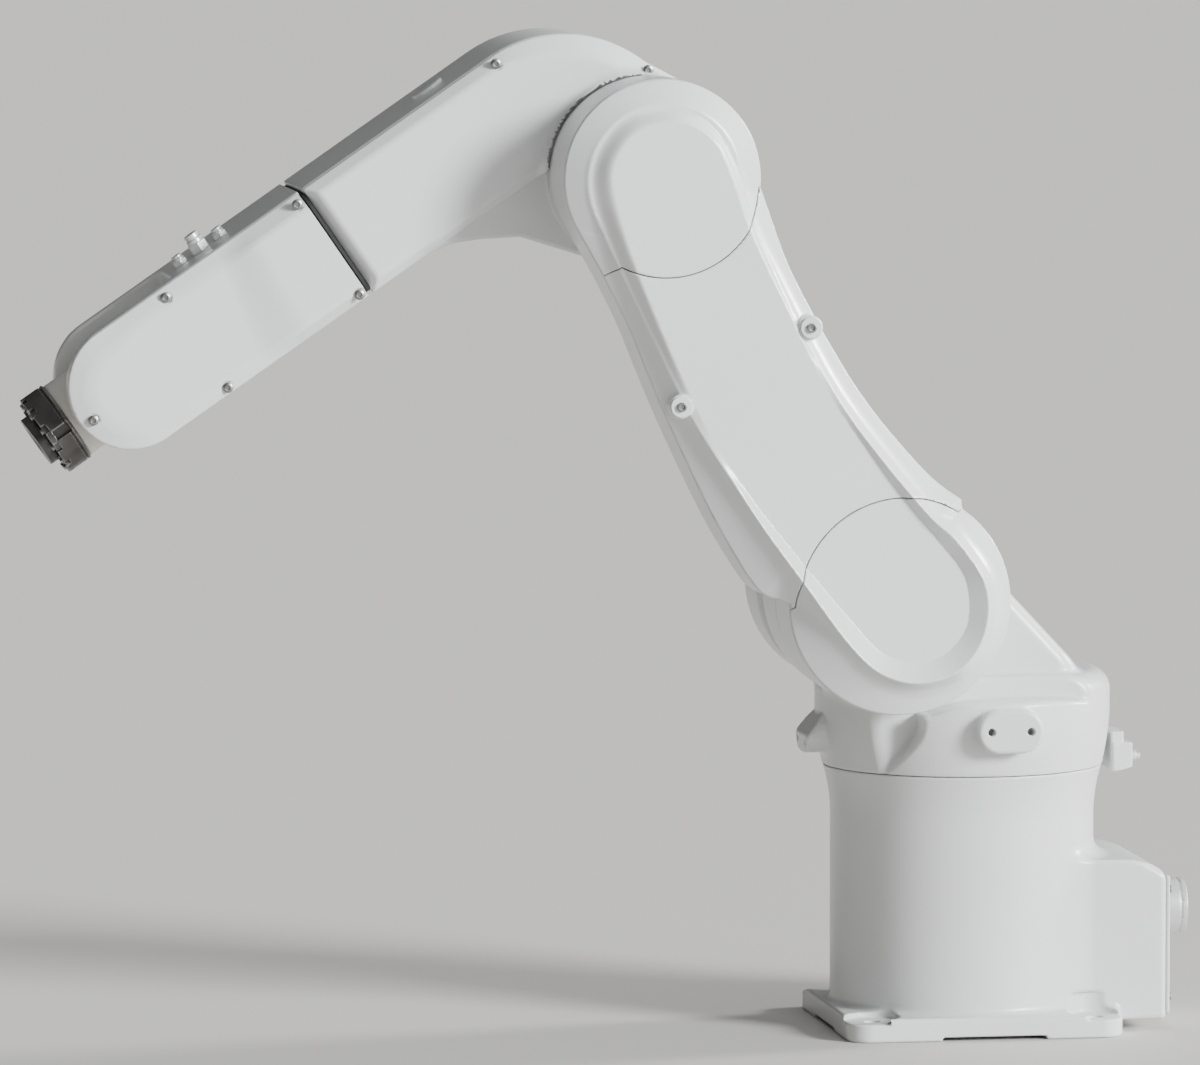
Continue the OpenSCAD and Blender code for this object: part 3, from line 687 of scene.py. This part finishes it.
# The flat panel's edge, and the crest of the rim round it
panel_side = Outline(closed([(62, 142), (57, 102), (49, 54), (41, 14), (30, -26), (0, -47), (-32, -38),
                             (-49, -6), (-45, 30), (-38, 72), (-33, 106), (-28, 160), (-30, 225),
                             (-36, 300), (-43, 345), (-44, 374), (-28, 398), (2, 407), (28, 395),
                             (40, 372), (50, 328), (59, 260), (64, 195)]))
crest_side = Outline(closed([(67, 142), (64, 100), (58, 50), (52, 0), (42, -33), (20, -55), (-12, -62),
                             (-41, -48), (-59, -18), (-57, 22), (-48, 50), (-38, 104), (-32, 160),
                             (-34, 225), (-41, 300), (-52, 350), (-49, 386), (-32, 407), (0, 420),
                             (32, 410), (52, 386), (60, 345), (66, 270), (70, 200)]))
link_wall, link_back_t = 9, 10


def arm_casting_field(x, y, z):
    side = link_side(x, z)
    body = meet(meet(side, arm_back - y, 4), y - arm_seam, 0.7)
    pocket = meet(side + link_wall, arm_back + link_back_t - y, 3)
    return cut(body, pocket)


seats = [(low[[0, 2]] + high[[0, 2]]) / 2 for low, high in spots("upper_arm_washers", LINK, 1, 3)]
seat_top, seat_ring = extent("upper_arm_washers", LINK)[0][1], 9
crest_drop, panel_rise = 13.5, 4.5       # how far the crest sinks, and the panel rises, toward the elbow
panel_sunk = 8                           # the panel below the cover's face at the shoulder end


def cover_field(x, y, z):
    """The three covers in one: a flat panel, a band up to the crest, a steep fall and a gentler lip."""
    side, panel, crest = link_side(x, z), panel_side(x, z), crest_side(x, z)
    along = ease(z / link_len)
    ridge = cover_face + 0.5 - crest_drop * along
    flat = cover_face - panel_sunk + panel_rise * along
    band = np.clip(panel / np.maximum(panel - crest, 1), 0, 1)
    band += (ease(band) - band) * along
    inner = (y - flat - (ridge - flat) * band) * 0.8
    lip = (y - arm_seam - 1.5 + 0.6 * side) * 0.86
    steep = (y - ridge + 1.6 * crest) * 0.53
    body = meet(inner, join(lip, steep, 3), 0.8)
    body = meet(meet(body, side + 0.3, 1), arm_seam + 0.15 - y, 0.5)
    for seat_x, seat_z_ in seats:
        seat = disc(x - seat_x, z - seat_z_, seat_ring)
        body = join(body, slab(y, arm_seam + 4, seat_top, seat, 0.8), 1.5)
        body = cut(body, meet(seat, seat_top - y), 0.8)
    return body


def near_shoulder(x, z):
    return np.minimum(disc(x, z, split_r2), z - split_z2)


def near_elbow(x, z):
    return np.minimum(disc(x, z - link_len, split_r3), split_z3 - z)


half_gap = 0.35      # half of the seam between two covers


def shoulder_end_field(x, y, z):
    return meet(cover_field(x, y, z), near_shoulder(x, z) + half_gap, 0.4)


def elbow_end_field(x, y, z):
    return meet(cover_field(x, y, z), near_elbow(x, z) + half_gap, 0.4)


def mid_cover_field(x, y, z):
    body = cut(cover_field(x, y, z), near_shoulder(x, z) - half_gap, 0.4)
    return cut(body, near_elbow(x, z) - half_gap, 0.4)


seat_fine = [[(s[axis] - 11, s[axis] + 11, 1.0) for s in seats] for axis in (0, 1)]
cover_fine = (seat_fine[0], (), seat_fine[1])
left, right, top = arm_low[0], arm_high[0], cover_face + 3
piece("upper_arm_casting", "upper_arm", [surface(arm_casting_field, arm_low, arm_high, 2.0)],
      LINK, "white_paint")
piece("upper_arm_mid_cover", "upper_arm",
      [surface(mid_cover_field, (left, arm_seam, arm_low[2]), (right, top, arm_high[2]), 1.6, cover_fine)],
      LINK, "white_cover")
piece("shoulder_end_cover", "upper_arm",
      [surface(shoulder_end_field, (left, arm_seam, -shoulder_r - 2), (right, top, shoulder_r + 6), 1.5)],
      LINK, "white_cover")
piece("elbow_end_cover", "upper_arm",
      [surface(elbow_end_field, (-elbow_r - 4, arm_seam, link_len - elbow_r - 2),
               (elbow_r + 6, top, arm_high[2]), 1.5)],
      LINK, "white_cover")

# ---- screws and washers ---------------------------------------------------------------------------

# Turns that point a part's +Z along an axis, or against it
TURN_TO = {0: [[0, 0, 1], [1, 0, 0], [0, 1, 0]], 1: [[0, 1, 0], [0, 0, 1], [1, 0, 0]]}
TURN_BACK = {0: [[0, 0, -1], [-1, 0, 0], [0, 1, 0]], 1: [[0, 1, 0], [0, 0, -1], [-1, 0, 0]]}


def screw_part(head_r, head_h, socket, dome=0.0):
    """A socket screw's head and neck along +Z, its seat at 0."""
    def field(x, y, z):
        r = np.hypot(x, y)
        top = head_h - dome * (r / head_r) ** 2
        head = meet(meet(r - head_r, z - top, 0.35), -z, 0.15)
        neck = meet(r - head_r * 0.45, between(z, -3, 0.5))
        return cut(np.minimum(head, neck), meet(hexagon(x, y, socket), head_h * 0.4 - z), 0.12)
    return surface(field, (-head_r, -head_r, -3), (head_r, head_r, head_h), head_r / 12)


def screws(node, body, place, axis, gap, part, inward):
    """The same screw at every place where the CAD node has one, its seat inward of the CAD head's face."""
    made = []
    for low, high in spots(node, place, axis, gap):
        middle = (low + high) / 2
        outward = 1 if middle[axis] > 0 else -1
        seat = middle.copy()
        seat[axis] = (high[axis] if outward > 0 else low[axis]) - outward * inward
        made.append(moved(part, seat, TURN_TO[axis] if outward > 0 else TURN_BACK[axis]))
    piece(node, body, made, place, "screw_steel")


washer_r, washer_t = 8, 2


def washer_field(x, y, z):
    r = np.hypot(x, y)
    return cut(slab(z, 0, washer_t, r - washer_r, 0.5), r - 2.2, 0.3)


washer = surface(washer_field, (-washer_r, -washer_r, 0), (washer_r, washer_r, washer_t), 0.5)
piece("upper_arm_washers", "upper_arm",
      [moved(washer, (s[0], seat_top, s[1]), TURN_TO[1]) for s in seats],
      LINK, "white_cover")

screws("upper_arm_screws", "upper_arm", LINK, 1, 3, screw_part(3.5, 2.5, 3.4), inward=2.5)
screws("elbow_cover_screws", "forearm", FORE, 1, 3, screw_part(4.0, 2.0, 3.4, 0.8), inward=4.0)
screws("fork_cover_screws", "forearm_roll", FORE, 1, 3, screw_part(4.0, 2.0, 3.4, 0.8), inward=4.0)
screws("j2_cover_screws", "shoulder", AXIS2, 1, 3, screw_part(4.5, 4.0, 4.4), inward=4.0)
screws("rear_panel_screws", "base", ROW, 0, 3, screw_part(3.0, 2.5, 2.8, 0.6), inward=2.5)
screws("wrist_ring_screws", "wrist", WRIST, 0, 2, screw_part(2.2, 2.0, 1.9), inward=2.0)

# ---- forearm, elbow half ---------------------------------------------------------------------------

near_low, near_high = extent("elbow_near_cover", FORE)
elbow_low, elbow_high = extent("elbow_casting", FORE)
fork_low, fork_high = extent("fork_casting", FORE)
fore_face = near_high[1]
body_half = near_low[1]
roll_x = elbow_high[0]
bar_low, bar_top = fork_low[2], fork_high[2]
bar_mid = (bar_low + bar_top) / 2
crown = (48, 36)
crown_r = bar_top - crown[1]
elbow_side = Outline([(roll_x, bar_low), (168, bar_low), (148, bar_low - 4), (129, 29), (103, 13),
                      *arc((0, 0), elbow_r, 330, 155, 40), *arc(crown, crown_r, 162, 90, 24),
                      (roll_x, bar_top)])
screw_r = 4
elbow_bore_r, roll_bore_r, roll_bore_x = 52, 40, 148
elbow_screws = [(low + high) / 2 for low, high in spots("elbow_cover_screws", FORE, 1, 3)]
fork_screws = [(low + high) / 2 for low, high in spots("fork_cover_screws", FORE, 1, 3)]


def pockets(body, x, y, z, places, seat):
    """A round pocket in the rim for each cover screw's head."""
    for p in places:
        if p[1] > 0:
            body = cut(body, meet(disc(x - p[0], z - p[2], screw_r + 1), seat(p) - y, 0.4), 0.3)
    return body


def elbow_casting_field(x, y, z):
    side = np.maximum(elbow_side(x, z), x - roll_x)
    body = slab(y, -body_half, body_half, side, 3)
    boss = slab(y, 20, joint_face, disc(x, z, elbow_r - 2), 2)
    body = join(body, boss, 2)
    bore = meet(disc(y, z - bar_mid, roll_bore_r), roll_bore_x - x)
    return cut(cut(body, bore), meet(disc(x, z, elbow_bore_r), 40 - y))


def elbow_bevel(x, z):
    """How steeply the cover's rim falls away: gently round the crown, steeply on the straights."""
    return 1.1 - 0.45 * ease((70 - x) / 60) * ease((z - 10) / 50)


def far_shell(x, y, z):
    """The far cover, drawn on the near side."""
    side = elbow_side(x, z) + 0.4
    rim = (y - body_half - 3 + side * elbow_bevel(x, z)) * 0.72
    body = meet(meet(meet(rim, y - fore_face, 2), side, 0.8), body_half + 0.15 - y, 0.5)
    body = pockets(body, x, y, z, elbow_screws, lambda p: fore_face - 2)
    return meet(body, x - roll_x, 0.5)


def elbow_far_field(x, y, z):
    return far_shell(x, -y, z)


def elbow_near_field(x, y, z):
    under = bar_low + 0.4 - z
    body = meet(far_shell(x, y, z), np.where(x > 0, under, -1e3), 1)
    lower = (y - body_half - 5 + under) * 0.7071
    body = np.where(x > 0, meet(body, lower, 1), body)
    collar = slab(y, body_half + 0.2, joint_face - 1.5, disc(x, z, elbow_r - 0.8), 1)
    return cut(join(body, collar, 9), disc(x, z, elbow_r - 1.8), 0.3)


piece("elbow_casting", "forearm", [surface(elbow_casting_field, elbow_low, elbow_high, 2.0)],
      FORE, "white_paint")
piece("elbow_near_cover", "forearm", [surface(elbow_near_field, near_low, near_high, 1.6)],
      FORE, "white_cover")
far_low, far_high = extent("elbow_far_cover", FORE)
piece("elbow_far_cover", "forearm", [surface(elbow_far_field, far_low, far_high, 1.8)],
      FORE, "white_cover")

plug_low, plug_high = extent("elbow_plug", FORE)
plug_x, plug_r = (plug_low[0] + plug_high[0]) / 2, 13


def plug_field(x, y, z):
    r = np.hypot(x - plug_x, y)
    cap = meet(meet(r - plug_r, z - plug_high[2] + 0.5 * (r / plug_r) ** 2, 1.5), bar_top - z)
    return join(cap, meet(r - 8.8, between(z, bar_top - 5, bar_top + 1)), 0)


piece("elbow_plug", "forearm", [surface(plug_field, plug_low, plug_high, 0.9)],
      FORE, "white_cover")

# ---- forearm, wrist half -----------------------------------------------------------------------------

fork_x0 = fork_low[0]
fore_len = (wrist_axis - elbow_axis) @ fore_x
fork_r = bar_top - bar_mid
slot_x, slot_half = 334, 36              # the slot that the wrist sits in
fork_front = 56                          # half width over the covers past the ramp
ramp_x, ramp_len = 264, 34               # the ramp's start and length at the top; both grow downward
rim_wide = 12


def fork_side(x, z):
    return np.hypot(np.maximum(x - fore_len, 0), z - bar_mid) - fork_r


def fork_outline(x, z):
    return np.maximum(fork_side(x, z), fork_x0 - x)


def fork_casting_field(x, y, z):
    body = slab(y, -body_half, body_half, fork_outline(x, z), 3)
    slot = meet(slot_x - x, np.abs(y) - slot_half, 6)
    body = cut(body, slot, 2.5)
    belt_way = meet(np.abs(np.abs(y) - body_half) - 8, np.abs(z - bar_mid) - 20)
    belt_way = meet(belt_way, between(x, fork_x0 + 10, fore_len))
    body = cut(body, belt_way)
    motor = meet(between(x, fork_x0 + 10, slot_x - 10), np.abs(z - bar_mid) - fork_r + 9)
    body = cut(body, meet(motor, np.abs(y) - body_half - 5))
    return cut(body, disc(x - fore_len, z - bar_mid, 20), 0.8)


def fork_seat(p):
    """The floor of a screw pocket, before or past the ramp."""
    return (fore_face if p[0] < ramp_x else fork_front) - 2


def fork_shell(x, y, z):
    """The near cover: it steps in along a slanted ramp, and its rim is bevelled, most at the round end."""
    side = fork_side(x, z) + 0.4
    down = (bar_top - z) / (bar_top - bar_low)
    ramp = (x - (ramp_x + 7 * down)) / (ramp_len + 13 * down)
    face = fore_face - (fore_face - fork_front) * ease(ramp)
    width = rim_wide - 3 * down + 5 * ease((x - fore_len + 30) / 40)
    rise = (face - body_half - 1) / width
    rim = (y - body_half - 1 + side * rise) / np.sqrt(1 + rise * rise)
    body = meet(rim, (y - face) * 0.98, 2)
    body = meet(meet(body, side, 0.6), body_half + 0.15 - y, 0.4)
    return pockets(body, x, y, z, fork_screws, fork_seat)


def fork_near_field(x, y, z):
    return meet(fork_shell(x, y, z), fork_x0 - x, 0.5)


def fork_far_field(x, y, z):
    return fork_near_field(x, -y, z)


piece("fork_casting", "forearm_roll", [surface(fork_casting_field, fork_low, fork_high, 1.8)],
      FORE, "white_paint")
for node_name, node_field in (("fork_near_cover", fork_near_field), ("fork_far_cover", fork_far_field)):
    piece(node_name, "forearm_roll", [surface(node_field, *extent(node_name, FORE), 1.3)],
          FORE, "white_cover")


def fitting_part(reach, tall):
    """A push-in fitting along +Z: hexagon body, collar, release ring and mouth."""
    def field(x, y, z):
        r = np.hypot(x, y)
        body = meet(meet(hexagon(x, y, reach * 1.72), r - reach, 0.4), between(z, 0, tall * 0.5), 0.4)
        neck = slab(z, -6, tall * 0.7, r - reach * 0.78, 0.4)
        lip = slab(z, tall * 0.74, tall, r - reach * 0.7, 0.5)
        stem = slab(z, 0, tall - 0.6, r - reach * 0.58, 0.2)
        whole = np.minimum(np.minimum(body, neck), np.minimum(lip, stem))
        return cut(whole, meet(r - reach * 0.42, 2 - z), 0.3)
    return surface(field, (-reach, -reach, -6), (reach, reach, tall), 0.5)


fittings = []
for low, high in spots("fork_air_ports", FORE, 2, 2):
    middle = (low + high) / 2
    part = fitting_part((high[0] - low[0]) / 2, high[2] - bar_top)
    fittings.append(moved(part, (middle[0], middle[1], bar_top)))
piece("fork_air_ports", "forearm_roll", fittings, FORE, "fitting")

for node_name, node_body, face in (("base_air_ports", "base", panel_low[0]),
                                   ("shoulder_air_ports", "shoulder", block_low[0])):
    fittings = []
    for low, high in spots(node_name, ROW, 0, 2):
        middle = (low + high) / 2
        part = fitting_part((high[1] - low[1]) / 2, face - low[0])
        fittings.append(moved(part, (face, middle[1], middle[2]), TURN_BACK[0]))
    piece(node_name, node_body, fittings, ROW, "fitting")

# ---- wrist ---------------------------------------------------------------------------------------------

wrist_low, wrist_high = extent("wrist_housing", WRIST)
ring_low, ring_high = extent("wrist_end_ring", WRIST)
flange_low, flange_high = extent("tool_flange", WRIST)


hub_half, hub_r, nose_r, pin_r, wrist_bore_r = 34.5, 36, 31, 14, 25


def wrist_field(x, y, z):
    hub = slab(y, -hub_half, hub_half, disc(x, z, hub_r), 4)
    nose = slab(x, 0, wrist_high[0], disc(y, z, nose_r), 1)
    body = join(hub, nose, 9)
    pins = slab(y, wrist_low[1], wrist_high[1], disc(x, z, pin_r), 0.5)
    return cut(np.minimum(body, pins), meet(disc(y, z, wrist_bore_r), -16 - x))


piece("wrist_housing", "wrist", [surface(wrist_field, wrist_low, wrist_high, 1.3)],
      WRIST, "wrist_paint")

ring_r, ring_bore_r, ring_lobes = ring_high[1], 12.1, 12


def ring_field(x, y, z):
    r = np.hypot(y, z)
    body = slab(x, ring_low[0], ring_high[0], r - ring_r, 0.8)
    groove = meet(np.abs(x - ring_low[0] - 3) - 0.6, ring_r - 0.8 - r)
    body = cut(body, groove, 0.2)
    notch = meet(between(x, ring_low[0] + 2, ring_low[0] + 15), np.abs(z) - 3.8)
    body = cut(body, meet(notch, 27 - y), 0.4)
    step = 2 * pi / ring_lobes
    lobe = np.abs((np.arctan2(z, y) / step) % 1 - 0.5) * step * ring_r
    castle = meet(lobe - 3.2, meet(ring_high[0] - 4 - x, 30.6 - r))
    body = cut(body, castle, 0.4)
    return cut(body, r - ring_bore_r)


piece("wrist_end_ring", "wrist", [surface(ring_field, ring_low, ring_high, 0.75)],
      WRIST, "dark_steel")
flange_r, pitch_r = flange_high[1], 31.5 / 2
pilot_r, tool_hole_r, dowel_r, pilot_deep = 10, 2.1, 2.5, 6


def flange_field(x, y, z):
    r = np.hypot(y, z)
    body = slab(x, flange_low[0], flange_high[0], r - flange_r, 0.6)
    floor = flange_high[0] - pilot_deep
    body = cut(body, meet(r - pilot_r, floor - x), 0.5)
    turned = (np.abs(y) - pitch_r * 0.7071, np.abs(z) - pitch_r * 0.7071)
    body = cut(body, meet(disc(*turned, tool_hole_r), floor - 1 - x), 0.3)
    return cut(body, meet(disc(y - pitch_r, z, dowel_r), floor - x), 0.3)


piece("tool_flange", "flange", [surface(flange_field, flange_low, flange_high, 0.6)],
      WRIST, "dark_steel")

# ---- camera, light and floor -----------------------------------------------------------------------------

aim = Vector((0.2785, 0, 0.3782))
azimuth, elevation, away = radians(9.5), radians(5.3), 8.0
toward = Vector((sin(azimuth) * cos(elevation), cos(azimuth) * cos(elevation), sin(elevation)))
camera_data = bpy.data.cameras.new("camera")
camera_data.lens = 318.5
camera_data.sensor_width = 36
camera_data.clip_end = 60
camera = bpy.data.objects.new("camera", camera_data)
camera.location = aim + toward * away
camera.rotation_mode = "QUATERNION"
camera.rotation_quaternion = (-toward).to_track_quat("-Z", "Y")
bpy.context.scene.collection.objects.link(camera)
bpy.context.scene.camera = camera


def area_light(name, where, target, size, power, colour):
    data = bpy.data.lights.new(name, "AREA")
    data.shape = "RECTANGLE"
    data.size, data.size_y = size
    data.energy, data.color = power, colour
    light = bpy.data.objects.new(name, data)
    light.location = where
    light.rotation_mode = "QUATERNION"
    light.rotation_quaternion = (Vector(target) - Vector(where)).to_track_quat("-Z", "Y")
    bpy.context.scene.collection.objects.link(light)


def sun(name, toward_light, strength, spread, colour):
    data = bpy.data.lights.new(name, "SUN")
    data.energy, data.angle, data.color = strength, radians(spread), colour
    light = bpy.data.objects.new(name, data)
    light.rotation_mode = "QUATERNION"
    light.rotation_quaternion = Vector(toward_light).to_track_quat("Z", "Y")
    bpy.context.scene.collection.objects.link(light)


sun("key", (-1.0, 1.0, 0.50), 6.6, 18, (0.97, 0.99, 1))
sun("rim", (-1.0, -0.25, 0.40), 3.0, 10, (1, 0.99, 0.97))
area_light("panel", (-0.9, 3.0, 1.2), (0.25, 0, 0.4), (1.6, 2.2), 8, (0.96, 0.98, 1))

world = bpy.data.worlds.new("studio")
world.use_nodes = True
sky = world.node_tree.nodes
sky_links = world.node_tree.links
direction = sky.new("ShaderNodeTexCoord")
# The sky brightens upward and toward -X
lean = sky.new("ShaderNodeVectorMath")
lean.operation = "DOT_PRODUCT"
lean.inputs[1].default_value = (-0.5, 0.1, 0.86)
height = sky.new("ShaderNodeValToRGB")
dim, bright = height.color_ramp.elements
dim.position, dim.color = 0.02, (0.05, 0.048, 0.045, 1)
bright.position, bright.color = 0.80, (0.95, 0.96, 0.98, 1)
sky_links.new(direction.outputs["Generated"], lean.inputs[0])
sky_links.new(lean.outputs["Value"], height.inputs["Fac"])
sky_links.new(height.outputs["Color"], sky["Background"].inputs["Color"])
sky["Background"].inputs["Strength"].default_value = 0.6
bpy.context.scene.world = world

floor_mesh = bpy.data.meshes.new("floor")
far = 60
floor_mesh.from_pydata([(-far, -far, 0), (far, -far, 0), (far, far, 0), (-far, far, 0)], [], [(0, 1, 2, 3)])
pale = material("pale_floor", (0.60, 0.585, 0.56), 0.7, tone=0.01, patch=1.5, bump=0.05)
floor_mesh.materials.append(pale)
floor_obj = bpy.data.objects.new("floor", floor_mesh)
floor_obj.location.z = cad_box[0].z
bpy.context.scene.collection.objects.link(floor_obj)
